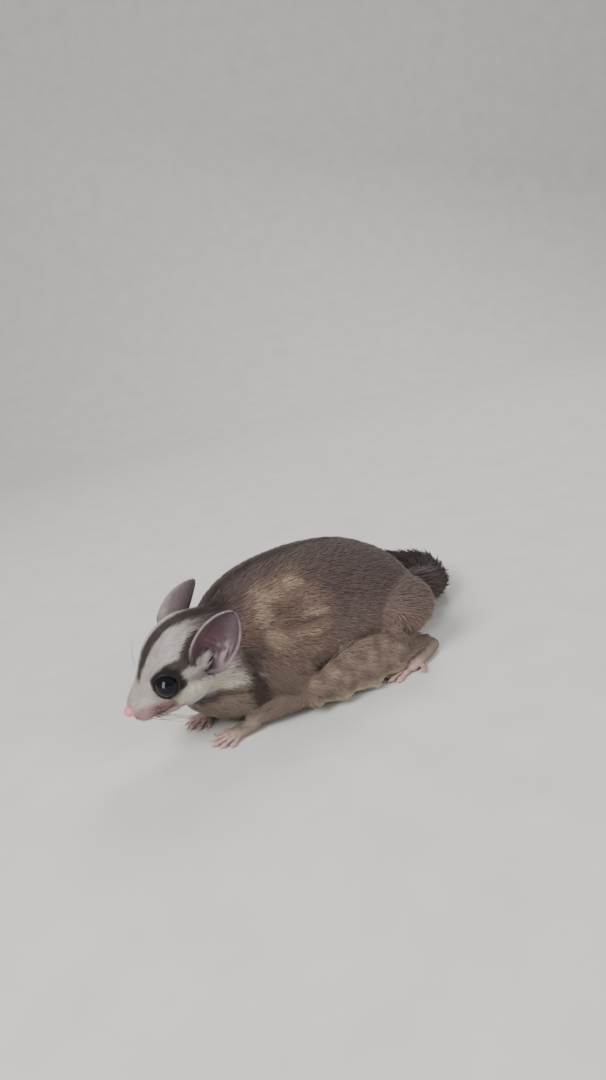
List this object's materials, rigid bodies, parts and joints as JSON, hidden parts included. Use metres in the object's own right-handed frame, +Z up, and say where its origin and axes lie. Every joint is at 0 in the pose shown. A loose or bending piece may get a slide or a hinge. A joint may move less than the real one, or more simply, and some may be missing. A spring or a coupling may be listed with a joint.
{
  "type": "sugar glider",
  "caption": "Life-size still model of a sugar glider crouched on the floor, its long tail wrapped along its far side.",
  "frame": {"origin": "centre of the underside's bounding box, at floor level", "axes": "+Z up; the animal faces -X and partly -Y, as it does in the picture seen along +Y"},
  "size_m": [0.1412, 0.1378, 0.0586],
  "materials": {
    "body_fur": "short dense grey-brown fur",
    "face_fur": "short pale grey fur with dark stripes",
    "fringe_fur": "soft cream-fringed fur",
    "tail_fur": "long soft charcoal fur",
    "bare_skin": "bare matt pink skin",
    "ear_skin": "thin mauve-grey skin",
    "eye": "wet gloss"
  },
  "bodies": {
    "root": {"head": "face_fur", "nose": "bare_skin", "eye_left": "eye", "ear_left": "ear_skin", "eye_right": "eye", "ear_right": "ear_skin", "neck": "body_fur", "torso": "body_fur", "upper_arm_left": "body_fur", "forearm_left": "body_fur", "hand_left": "bare_skin", "membrane_left": "fringe_fur", "upper_arm_right": "body_fur", "forearm_right": "body_fur", "hand_right": "bare_skin", "membrane_right": "fringe_fur", "rump": "body_fur", "thigh_left": "body_fur", "shin_left": "body_fur", "foot_left": "bare_skin", "thigh_right": "body_fur", "shin_right": "body_fur", "foot_right": "bare_skin", "tail_1": "body_fur", "tail_2": "tail_fur", "tail_3": "tail_fur", "tail_4": "tail_fur", "tail_5": "tail_fur"}
  },
  "joints": []
}
